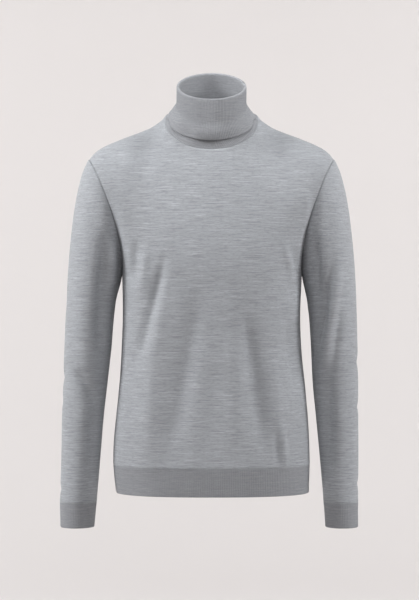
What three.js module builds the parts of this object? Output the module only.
import * as THREE from 'three';

// Turtleneck sweater, a man's size M in fine merino knit, filled out as it is when worn.
// Millimetres, +Z up. The front faces -Y and +X is at the viewer's right.
// The origin is on the centre line, level with the base of the neck, where the shoulders carry it.

// Cloth
const KNIT_WALL = 1.8;
const RIB_WALL = 2.2;
const SEAM_GAP = 0.3;

// Heights along the garment
const UNDERARM = -258;
const HEM_SEAM = -602;
const HEM_EDGE = -652;
const BICEP = -315;
const CUFF_SEAM = -669;
const CUFF_EDGE = -714;

// Body rings are superellipses of this power, a little squarer than an ellipse.
const RING_POWER = 2.5;
const BODY_RINGS = [
  { height: -652, left: 173, right: 176, front: 121, back: 110 },
  { height: -602, left: 177, right: 177, front: 123, back: 112 },
  { height: -558, left: 176, right: 176, front: 122, back: 110 },
  { height: -507, left: 171, right: 173, front: 120, back: 106 },
  { height: -443, left: 165, right: 167, front: 119, back: 102 },
  { height: -393, left: 162, right: 162, front: 120, back: 104 },
  { height: -333, left: 160, right: 160, front: 122, back: 110 },
  { height: -258, left: 161, right: 163, front: 124, back: 117 },
];

// The shoulder seam, from the side of the neck to the tip of the shoulder.
const SHOULDER_SEAM = [
  { reach: 84, height: 20 },
  { reach: 106, height: 6 },
  { reach: 131, height: -4 },
  { reach: 160, height: -15 },
  { reach: 193, height: -29 },
  { reach: 210, height: -40 },
  { reach: 222, height: -54 },
];
const NECK_REACH = SHOULDER_SEAM[0].reach;
const SHOULDER_TIP = SHOULDER_SEAM.at(-1).reach;

// The neck seam is a ring that dips in front and rides up on the shoulders. It is a superellipse
// too, and the collar's top a plain ellipse.
const NECK_SEAM = { centreY: 0, halfWidth: NECK_REACH, halfDepth: 74, front: -38, side: 20, back: 35 };
const NECK_POWER = 2.6;
const ELLIPSE_POWER = 2;

// Share of a panel's half width that runs up into the neck; the rest runs up to the shoulder seam.
const NECK_SHARE = 0.36;
const NECK_COLUMNS = 9;
const SHOULDER_COLUMNS = 8;
const LOWER_ROWS = 10;
const UPPER_ROWS = 11;

// How the panels sweep up from the chest ring: forward round the armhole, back over the shoulder,
// and in towards the neck.
const CHEST_SWEEP = { inward: 35, forward: 250, up: 220 };
const SHOULDER_SWEEP = { backward: 270, atNeck: -90, atTip: 25, settled: 0.5 };
const NECK_SWEEP = { atFront: 180, atSide: 90, lean: 0.55 };

// Where and how widely neighbouring columns are averaged below the corners of the neck.
const SOFT_CORNER = {
  inner: 0.06,
  outer: 0.7,
  window: 0.15,
  offsets: [-0.75, -0.5, -0.25, 0, 0.25, 0.5, 0.75],
};

// Sleeve rings. Outer and inner are distances from the centre line.
const SLEEVE_RINGS = {
  left: [
    { height: -714, outer: 272, inner: 211, centreY: -18, halfDepth: 34 },
    { height: -669, outer: 273, inner: 207, centreY: -16, halfDepth: 37 },
    { height: -596, outer: 271, inner: 201, centreY: -11, halfDepth: 41 },
    { height: -520, outer: 270, inner: 195, centreY: -7, halfDepth: 46 },
    { height: -456, outer: 268, inner: 188, centreY: -4, halfDepth: 51 },
    { height: -393, outer: 266, inner: 181, centreY: -2, halfDepth: 57 },
    { height: -342, outer: 264, inner: 177, centreY: 0, halfDepth: 63 },
    { height: -315, outer: 262, inner: 174, centreY: 0, halfDepth: 66 },
  ],
  right: [
    { height: -714, outer: 264, inner: 205, centreY: -18, halfDepth: 34 },
    { height: -669, outer: 264, inner: 202, centreY: -16, halfDepth: 37 },
    { height: -596, outer: 265, inner: 196, centreY: -11, halfDepth: 41 },
    { height: -520, outer: 265, inner: 189, centreY: -7, halfDepth: 46 },
    { height: -456, outer: 265, inner: 183, centreY: -4, halfDepth: 51 },
    { height: -393, outer: 264, inner: 180, centreY: -2, halfDepth: 57 },
    { height: -342, outer: 263, inner: 177, centreY: 0, halfDepth: 63 },
    { height: -315, outer: 262, inner: 174, centreY: 0, halfDepth: 66 },
  ],
};
const SLEEVE_DIVIDE = 1.12;
const CAP_ROWS = 9;
const UPPER_ARM_ROWS = 2;
const LOWER_ARM_ROWS = 12;

// Collar: a stand of rib that folds over a soft roll at the top and flares out over the shoulders.
const COLLAR_TOP = { centreY: -22, halfWidth: 60, halfDepth: 56, front: 48, side: 77, back: 106 };
const COLLAR_LOW = { side: 0.03, front: 0.185, back: 0.12 };

// How far the turnover stands off the stand, from the roll down to its lower edge.
const TURNOVER = [
  { fall: 0, outward: 1.6 },
  { fall: 0.35, outward: 1.6 },
  { fall: 0.6, outward: 1.9 },
  { fall: 0.82, outward: 5 },
  { fall: 1, outward: 3.2 },
];
const COLLAR_GAP = TURNOVER[0].outward;
const STAND_ROWS = 6;
const ROLL_ROWS = 4;
const TURNOVER_ROWS = 7;

// Folds of the cloth. Each runs from (x0, z0) to (x1, z1) on the front or back, bowed sideways by
// bow; width is its half width and lift how far it stands out, or sinks in where it is negative.
const FOLDS = [
  { side: 'front', x0: -155, z0: -215, x1: -156, z1: -250, bow: 0, width: 8, lift: -5 },
  { side: 'front', x0: -124, z0: -215, x1: -140, z1: -430, bow: 6, width: 10, lift: -6 },
  { side: 'front', x0: -108, z0: -208, x1: -116, z1: -290, bow: 0, width: 11, lift: 4 },
  { side: 'front', x0: -74, z0: -285, x1: -97, z1: -415, bow: 3, width: 17, lift: 5 },
  { side: 'front', x0: -53, z0: -335, x1: -112, z1: -575, bow: 8, width: 16, lift: -7 },
  { side: 'front', x0: 64, z0: -335, x1: 73, z1: -540, bow: -3, width: 15, lift: -5 },
  { side: 'front', x0: 130, z0: -215, x1: 147, z1: -345, bow: 3, width: 11, lift: 4 },
  { side: 'front', x0: 129, z0: -318, x1: 157, z1: -470, bow: -4, width: 12, lift: -6 },
  { side: 'front', x0: 148, z0: -210, x1: 149, z1: -275, bow: 0, width: 8, lift: -5 },
  { side: 'front', x0: -204, z0: -430, x1: -226, z1: -462, bow: 2, width: 9, lift: -5 },
  { side: 'front', x0: -214, z0: -250, x1: -196, z1: -310, bow: 4, width: 12, lift: -5 },
  { side: 'front', x0: 219, z0: -286, x1: 208, z1: -332, bow: 2, width: 9, lift: -5 },
  { side: 'front', x0: 226, z0: -340, x1: 200, z1: -414, bow: -4, width: 10, lift: 4 },
  { side: 'front', x0: 236, z0: -470, x1: 206, z1: -500, bow: 3, width: 10, lift: -5 },
  { side: 'back', x0: -132, z0: -205, x1: -118, z1: -330, bow: 5, width: 12, lift: -6 },
  { side: 'back', x0: 128, z0: -212, x1: 140, z1: -360, bow: -4, width: 12, lift: -6 },
  { side: 'back', x0: -60, z0: -330, x1: -105, z1: -560, bow: 7, width: 17, lift: -6 },
  { side: 'back', x0: 48, z0: -380, x1: 88, z1: -570, bow: -6, width: 16, lift: -6 },
  { side: 'back', x0: 4, z0: -420, x1: -10, z1: -560, bow: 4, width: 18, lift: 4 },
  { side: 'back', x0: -205, z0: -440, x1: -240, z1: -468, bow: 3, width: 10, lift: -5 },
  { side: 'back', x0: 204, z0: -430, x1: 236, z1: -476, bow: -3, width: 10, lift: -5 },
];

const HANDS = { left: -1, right: 1 };
const FRONT = -1;
const BACK = 1;

function mix(from, to, share) {
  return from + (to - from) * share;
}

function smoothstep(low, high, value) {
  const share = THREE.MathUtils.clamp((value - low) / (high - low), 0, 1);
  return share * share * (3 - 2 * share);
}

function hermite(start, startSlope, end, endSlope, share) {
  const square = share * share;
  const cube = square * share;
  return start * (2 * cube - 3 * square + 1)
    + startSlope * (cube - 2 * square + share)
    + end * (3 * square - 2 * cube)
    + endSlope * (cube - square);
}

function hermitePoint(start, startSlope, end, endSlope, share) {
  return new THREE.Vector3(
    hermite(start.x, startSlope.x, end.x, endSlope.x, share),
    hermite(start.y, startSlope.y, end.y, endSlope.y, share),
    hermite(start.z, startSlope.z, end.z, endSlope.z, share),
  );
}

// A smooth curve through one column of a table, against the column named knot.
function sample(table, knot, column, at) {
  let row = 0;
  while (row < table.length - 2 && at > table[row + 1][knot]) {
    row += 1;
  }
  const span = table[row + 1][knot] - table[row][knot];
  const slopeAt = (index) => {
    const before = table[Math.max(index - 1, 0)];
    const after = table[Math.min(index + 1, table.length - 1)];
    return (after[column] - before[column]) / (after[knot] - before[knot]) * span;
  };
  const share = (at - table[row][knot]) / span;
  return hermite(table[row][column], slopeAt(row), table[row + 1][column], slopeAt(row + 1), share);
}

// A superellipse's coordinate, from the sine or cosine of the angle.
function rounded(value, power) {
  return Math.sign(value) * Math.abs(value) ** (2 / power);
}

// A ring's height at each angle, from its height at the front, the sides and the back.
function ringHeight(ring, across, deep) {
  const level = (ring.front + ring.back) / 4 + ring.side / 2;
  const tilt = (ring.back - ring.front) / 2;
  const saddle = ring.side - level;
  return level + tilt * deep + saddle * (across * across - deep * deep);
}

// Body form. u runs from -1 at the left side seam to 1 at the right one. v runs from 0 at the hem
// seam to 1 at the underarm and to 2 at the shoulder and neck seams.
function bodyRing(side, u, height) {
  const angle = u * Math.PI / 2;
  const halfWidth = sample(BODY_RINGS, 'height', u < 0 ? 'left' : 'right', height);
  const depth = sample(BODY_RINGS, 'height', side === FRONT ? 'front' : 'back', height);
  const across = rounded(Math.sin(angle), RING_POWER);
  const deep = rounded(Math.cos(angle), RING_POWER);
  return new THREE.Vector3(halfWidth * across, side * depth * deep, height);
}

function neckSeamPoint(across, deep) {
  return new THREE.Vector3(
    NECK_SEAM.halfWidth * across,
    NECK_SEAM.centreY + NECK_SEAM.halfDepth * deep,
    ringHeight(NECK_SEAM, across, deep),
  );
}

function topEdge(side, u) {
  const reach = Math.abs(u);
  if (reach <= NECK_SHARE) {
    const angle = u / NECK_SHARE * Math.PI / 2;
    const across = rounded(Math.sin(angle), NECK_POWER);
    return neckSeamPoint(across, side * rounded(Math.cos(angle), NECK_POWER));
  }
  const outward = mix(NECK_REACH, SHOULDER_TIP, (reach - NECK_SHARE) / (1 - NECK_SHARE));
  return new THREE.Vector3(Math.sign(u) * outward, 0, sample(SHOULDER_SEAM, 'reach', 'height', outward));
}

// The direction in which a panel arrives at its top edge: over the ridge of the shoulder, and up
// the slope of the neck, always in the plane that the top edge itself lies in.
function topSweep(side, reach) {
  const step = 1e-4;
  if (reach <= NECK_SHARE) {
    const share = reach / NECK_SHARE;
    const angle = share * Math.PI / 2;
    const along = topEdge(side, reach).sub(topEdge(side, reach - step)).normalize();
    const ridge = topEdge(side, NECK_SHARE).sub(topEdge(side, NECK_SHARE + step)).normalize();
    const rise = new THREE.Vector3(0, -side * NECK_SWEEP.lean, 1).multiplyScalar(Math.cos(angle));
    rise.addScaledVector(ridge, Math.sin(angle)).normalize();
    rise.multiplyScalar(mix(NECK_SWEEP.atFront, NECK_SWEEP.atSide, share));
    return rise.addScaledVector(along, SHOULDER_SWEEP.backward * share ** 1.5);
  }
  const outward = topEdge(side, reach).sub(topEdge(side, reach - step)).normalize();
  const share = (reach - NECK_SHARE) / (1 - NECK_SHARE);
  const slide = mix(SHOULDER_SWEEP.atNeck, SHOULDER_SWEEP.atTip, smoothstep(0, 1, share));
  const aroundNeck = topEdge(side, NECK_SHARE).sub(topEdge(side, NECK_SHARE - step)).normalize();
  const straight = smoothstep(0, SHOULDER_SWEEP.settled, share);
  const over = aroundNeck.lerp(new THREE.Vector3(0, -side, 0), straight);
  return over.multiplyScalar(SHOULDER_SWEEP.backward).addScaledVector(outward, slide);
}

function panelColumn(side, u, v) {
  if (v <= 1) {
    return bodyRing(side, u, mix(HEM_SEAM, UNDERARM, v));
  }
  const reach = Math.abs(u);
  const edge = smoothstep(0.4, 1.1, reach) / smoothstep(0.4, 1.1, 1);
  const startSlope = new THREE.Vector3(
    -Math.sign(u) * CHEST_SWEEP.inward * edge,
    side * CHEST_SWEEP.forward * edge,
    CHEST_SWEEP.up,
  );
  const endSlope = topSweep(side, reach);
  endSlope.x *= Math.sign(u);
  return hermitePoint(bodyRing(side, u, UNDERARM), startSlope, topEdge(side, u), endSlope, v - 1);
}

// A panel's columns, averaged with their neighbours below the corners of the neck, where the cloth
// passes from the neck to the shoulder.
function bodyForm(side, u, v) {
  const reach = Math.abs(u);
  const inner = smoothstep(SOFT_CORNER.inner, NECK_SHARE, reach);
  const near = inner * (1 - smoothstep(NECK_SHARE, SOFT_CORNER.outer, reach));
  const window = SOFT_CORNER.window * near * smoothstep(1, 1.25, v) * (1 - smoothstep(1.75, 2, v));
  if (window === 0) {
    return panelColumn(side, u, v);
  }
  const average = new THREE.Vector3();
  let total = 0;
  for (const offset of SOFT_CORNER.offsets) {
    const weight = 1 + Math.cos(Math.PI * offset);
    average.addScaledVector(panelColumn(side, u + window * offset, v), weight);
    total += weight;
  }
  return average.divideScalar(total);
}

// Sleeve form. around runs from 0 at the top of the shoulder over the front to 1 under the arm and
// over the back to 2. along runs from 0 at the armhole to 1 at the upper arm and 2 at the cuff seam.
function sleeveRing(hand, around, height) {
  const table = SLEEVE_RINGS[hand];
  const outer = sample(table, 'height', 'outer', height);
  const inner = sample(table, 'height', 'inner', height);
  const centreY = sample(table, 'height', 'centreY', height);
  const halfDepth = sample(table, 'height', 'halfDepth', height);
  const centreX = (outer + inner) / 2;
  const halfWidth = (outer - inner) / 2;
  return new THREE.Vector3(
    HANDS[hand] * (centreX + halfWidth * Math.cos(Math.PI * around)),
    centreY - halfDepth * Math.sin(Math.PI * around),
    height,
  );
}

function sleeveForm(hand, around, along) {
  if (along >= 1) {
    return sleeveRing(hand, around, mix(BICEP, CUFF_SEAM, along - 1));
  }
  const side = around < 1 ? FRONT : BACK;
  const armhole = bodyForm(side, HANDS[hand], 1 + Math.abs(1 - around));
  armhole.x += HANDS[hand] * SEAM_GAP * 1.5;
  const top = Math.cos(Math.PI * around);
  const startSlope = new THREE.Vector3(
    HANDS[hand] * (40 + 35 * top),
    -45 * Math.sin(Math.PI * around),
    -80 - 20 * top,
  );
  const endSlope = new THREE.Vector3(HANDS[hand] * 6, 0, -170 - 110 * top);
  return hermitePoint(armhole, startSlope, sleeveRing(hand, around, BICEP), endSlope, along);
}

// Collar form. turn goes once round the neck and rise is the share of the stand's height; the
// stand narrows quickly above the neck seam.
function collarRing(turn, rise, outward) {
  const drawnIn = 1 - (1 - rise) ** 6;
  const power = mix(NECK_POWER, ELLIPSE_POWER, drawnIn);
  const across = rounded(Math.cos(2 * Math.PI * turn), power);
  const deep = rounded(Math.sin(2 * Math.PI * turn), power);
  const halfWidth = mix(NECK_SEAM.halfWidth, COLLAR_TOP.halfWidth, drawnIn);
  const halfDepth = mix(NECK_SEAM.halfDepth, COLLAR_TOP.halfDepth, mix(rise, drawnIn, 0.5));
  const centreY = mix(NECK_SEAM.centreY, COLLAR_TOP.centreY, mix(rise, drawnIn, 0.3));
  const low = ringHeight(NECK_SEAM, across, deep) + SEAM_GAP;
  const high = ringHeight(COLLAR_TOP, across, deep);
  const clear = outward - SEAM_GAP;
  return new THREE.Vector3(
    (halfWidth + clear) * across,
    centreY + (halfDepth + clear) * deep,
    mix(low, high, rise),
  );
}

// s runs from 0 at the neck seam to 1 at the top of the stand, to 2 over the roll and to 3 at the
// lower edge of the turnover.
function collarForm(turn, s) {
  if (s <= 1) {
    return collarRing(turn, s, 0);
  }
  if (s <= 2) {
    const angle = (s - 1) * Math.PI;
    const point = collarRing(turn, 1, COLLAR_GAP / 2 * (1 - Math.cos(angle)));
    point.z += COLLAR_GAP / 2 * Math.sin(angle);
    return point;
  }
  const fall = s - 2;
  const deep = Math.sin(2 * Math.PI * turn);
  const end = deep < 0 ? COLLAR_LOW.front : COLLAR_LOW.back;
  const low = mix(COLLAR_LOW.side, end, Math.abs(deep) ** 3);
  return collarRing(turn, 1 - fall * (1 - low), sample(TURNOVER, 'fall', 'outward', fall));
}

// How far the folds move a point of the form that faces along normal.
function foldLift(point, normal) {
  const facing = smoothstep(0.2, 0.7, Math.abs(normal.y));
  const side = normal.y < 0 ? 'front' : 'back';
  let lift = 0;
  for (const fold of FOLDS) {
    if (fold.side === side) {
      const runX = fold.x1 - fold.x0;
      const runZ = fold.z1 - fold.z0;
      const length = Math.hypot(runX, runZ);
      const offX = point.x - fold.x0;
      const offZ = point.z - fold.z0;
      const share = THREE.MathUtils.clamp((offX * runX + offZ * runZ) / length ** 2, 0, 1);
      const bow = fold.bow * Math.sin(Math.PI * share);
      const nearX = fold.x0 + runX * share - bow * runZ / length;
      const nearZ = fold.z0 + runZ * share + bow * runX / length;
      const away = Math.hypot(point.x - nearX, point.z - nearZ) / fold.width;
      lift += fold.lift * Math.exp(-away * away);
    }
  }
  return lift * facing;
}

// The outward normal of a form at (a, b), from points a small step to each side inside its range.
function normalOf(form, a, b, range) {
  const step = 1e-3;
  const aLow = range.closed ? a - step : Math.max(a - step, range.a[0]);
  const aHigh = range.closed ? a + step : Math.min(a + step, range.a[1]);
  const bLow = Math.max(b - step, range.b[0]);
  const bHigh = Math.min(b + step, range.b[1]);
  const alongA = form(aHigh, b).sub(form(aLow, b));
  const alongB = form(a, bHigh).sub(form(a, bLow));
  return alongA.cross(alongB).normalize();
}

// A wall of cloth: the form's points on one face, the same points moved in by the thickness on the
// other, and rims along the free edges. It comes back as one closed body with its faces outwards.
function clothWall(form, aValues, bValues, options) {
  const { thickness, closed = false, folded = true, edgeNormal = null, facing = 1 } = options;
  const range = {
    a: [aValues[0], aValues.at(-1)],
    b: [bValues[0], bValues.at(-1)],
    closed,
  };
  const columns = aValues.length;
  const rows = bValues.length;
  const outer = [];
  const inner = [];
  for (const b of bValues) {
    for (const a of aValues) {
      const point = form(a, b);
      const ownNormal = normalOf(form, a, b, range).multiplyScalar(facing);
      const normal = (edgeNormal && edgeNormal(a, b, ownNormal)) || ownNormal;
      if (folded) {
        point.addScaledVector(normal, foldLift(point, ownNormal));
      }
      outer.push(...point);
      inner.push(...point.addScaledVector(normal, -thickness));
    }
  }
  const count = rows * columns;
  const triangles = [];
  const quad = (p, q, r, s) => triangles.push(p, q, r, p, r, s);
  const lastColumn = closed ? columns : columns - 1;
  for (let row = 0; row < rows - 1; row += 1) {
    for (let column = 0; column < lastColumn; column += 1) {
      const next = (column + 1) % columns;
      const p = row * columns + column;
      const q = row * columns + next;
      const r = q + columns;
      const s = p + columns;
      quad(p, q, r, s);
      quad(count + s, count + r, count + q, count + p);
    }
  }
  const rim = (from, to) => quad(from, count + from, count + to, to);
  for (let column = 0; column < lastColumn; column += 1) {
    const next = (column + 1) % columns;
    rim(column, next);
    rim(count - columns + next, count - columns + column);
  }
  if (!closed) {
    for (let row = 0; row < rows - 1; row += 1) {
      rim((row + 1) * columns, row * columns);
      rim((row + 1) * columns - 1, (row + 2) * columns - 1);
    }
  }
  if (facing < 0) {
    triangles.reverse();
  }
  const geometry = new THREE.BufferGeometry();
  geometry.setAttribute('position', new THREE.Float32BufferAttribute([...outer, ...inner], 3));
  geometry.setIndex(triangles);
  geometry.computeVertexNormals();
  return geometry;
}

function steps(from, to, count) {
  return Array.from({ length: count + 1 }, (_, index) => mix(from, to, index / count));
}

// Columns of a panel: even steps up to each side of the neck, then even steps to the side seams.
function panelColumns() {
  const neck = steps(-NECK_SHARE, NECK_SHARE, 2 * NECK_COLUMNS);
  const shoulder = steps(NECK_SHARE, 1, SHOULDER_COLUMNS).slice(1);
  return [...shoulder.map((u) => -u).reverse(), ...neck, ...shoulder];
}

function ringSteps(count, length) {
  return steps(0, length, count).slice(0, -1);
}

// Where two pieces meet at a seam they share one mitred normal, so their rims lie parallel. Where
// the cloth turns back on itself, as under the arm, each piece keeps its own.
function mitre(one, other, own) {
  return one.dot(other) < 0.3 ? own : one.add(other).normalize();
}

function panelNormal(side, u, v) {
  const form = (a, b) => bodyForm(side, a, b);
  return normalOf(form, u, v, { a: [-1, 1], b: [0, 2] }).multiplyScalar(-side);
}

function armholeNormal(side, hand, t, own) {
  const around = side === FRONT ? 1 - t : 1 + t;
  const form = (a, b) => sleeveForm(hand, a, b);
  const sleeveNormal = normalOf(form, around, 0, { b: [0, 2], closed: true });
  return mitre(panelNormal(side, HANDS[hand], 1 + t), sleeveNormal.multiplyScalar(HANDS[hand]), own);
}

function neckNormal(side, u, own) {
  const angle = u / NECK_SHARE * Math.PI / 2;
  const turn = Math.atan2(side * Math.cos(angle), Math.sin(angle)) / (2 * Math.PI);
  const collarNormal = normalOf(collarForm, turn, 0, { b: [0, 3], closed: true });
  return mitre(panelNormal(side, u, 2), collarNormal, own);
}

function panel(side) {
  const rows = [...steps(0, 1, LOWER_ROWS), ...steps(1, 2, UPPER_ROWS).slice(1)];
  const shift = side * SEAM_GAP / 2;
  const form = (u, v) => {
    const point = bodyForm(side, u, v);
    point.y += shift;
    return point;
  };
  const edgeNormal = (u, v, own) => {
    const reach = Math.abs(u);
    const atNeck = v === 2 && reach <= NECK_SHARE + 1e-9;
    const atArmhole = reach === 1 && v > 1;
    const normal = own.clone();
    if (atNeck) {
      normal.copy(neckNormal(side, u, own));
    } else if (atArmhole) {
      normal.copy(armholeNormal(side, u < 0 ? 'left' : 'right', v - 1, own));
    }
    const atPanelSeam = (reach === 1 && v <= 1) || (v === 2 && reach >= NECK_SHARE - 1e-9);
    return atPanelSeam ? normal.setY(0).normalize() : normal;
  };
  return clothWall(form, panelColumns(), rows, { thickness: KNIT_WALL, edgeNormal, facing: -side });
}

function hemPanel(side) {
  const shift = side * SEAM_GAP / 2;
  const form = (u, v) => {
    const point = bodyRing(side, u, mix(HEM_EDGE, HEM_SEAM - SEAM_GAP, v));
    point.y += shift;
    return point;
  };
  return clothWall(form, panelColumns(), steps(0, 1, 2), { thickness: RIB_WALL, facing: -side });
}

// A sleeve is one knitted tube. Its solid is divided across the arm, a seam's gap apart.
function upperSleeve(hand) {
  const rows = [...steps(0, 1, CAP_ROWS), ...steps(1, SLEEVE_DIVIDE, UPPER_ARM_ROWS).slice(1)];
  return sleeveTube(hand, rows);
}

function lowerSleeve(hand) {
  const gap = SEAM_GAP / (BICEP - CUFF_SEAM);
  return sleeveTube(hand, steps(SLEEVE_DIVIDE + gap, 2, LOWER_ARM_ROWS));
}

function sleeveTube(hand, rows) {
  const form = (around, along) => sleeveForm(hand, (around + 2) % 2, along);
  const edgeNormal = (around, along, own) => {
    if (along > 0) {
      return own;
    }
    const side = around < 1 ? FRONT : BACK;
    return armholeNormal(side, hand, Math.abs(1 - around), own);
  };
  const columns = ringSteps(2 * UPPER_ROWS, 2);
  const facing = HANDS[hand];
  return clothWall(form, columns, rows, { thickness: KNIT_WALL, closed: true, edgeNormal, facing });
}

function cuff(hand) {
  const form = (around, v) => sleeveRing(hand, around, mix(CUFF_SEAM - SEAM_GAP, CUFF_EDGE, v));
  const columns = ringSteps(2 * UPPER_ROWS, 2);
  const facing = HANDS[hand];
  return clothWall(form, columns, steps(0, 1, 2), { thickness: RIB_WALL, closed: true, facing });
}

function collar() {
  const rows = [
    ...steps(0, 1, STAND_ROWS),
    ...steps(1, 2, ROLL_ROWS).slice(1),
    ...steps(2, 3, TURNOVER_ROWS).slice(1),
  ];
  const edgeNormal = (turn, s, own) => {
    if (s > 0) {
      return own;
    }
    const angle = 2 * Math.PI * turn;
    const side = Math.sin(angle) < 0 ? FRONT : BACK;
    const u = NECK_SHARE * Math.atan2(Math.cos(angle), Math.abs(Math.sin(angle))) / (Math.PI / 2);
    const normal = neckNormal(side, u, own).clone();
    return Math.abs(u) > NECK_SHARE - 1e-6 ? normal.setY(0).normalize() : normal;
  };
  const columns = ringSteps(4 * NECK_COLUMNS, 1);
  const options = { thickness: RIB_WALL, closed: true, folded: false, edgeNormal };
  return clothWall(collarForm, columns, rows, options);
}

const knit = new THREE.MeshStandardMaterial({ name: 'melange_knit', color: 0xa5a6a9, roughness: 0.95 });
const rib = new THREE.MeshStandardMaterial({ name: 'melange_rib', color: 0x8e8e92, roughness: 0.95 });

const sweater = new THREE.Group();
sweater.name = 'turtleneck_sweater';

function addPiece(name, geometry, material) {
  const mesh = new THREE.Mesh(geometry, material);
  mesh.name = name;
  sweater.add(mesh);
}

addPiece('front', panel(FRONT), knit);
addPiece('back', panel(BACK), knit);
addPiece('hem_front', hemPanel(FRONT), rib);
addPiece('hem_back', hemPanel(BACK), rib);
for (const hand of Object.keys(HANDS)) {
  addPiece(`upper_sleeve_${hand}`, upperSleeve(hand), knit);
  addPiece(`lower_sleeve_${hand}`, lowerSleeve(hand), knit);
  addPiece(`cuff_${hand}`, cuff(hand), rib);
}
addPiece('collar', collar(), rib);

export default sweater;
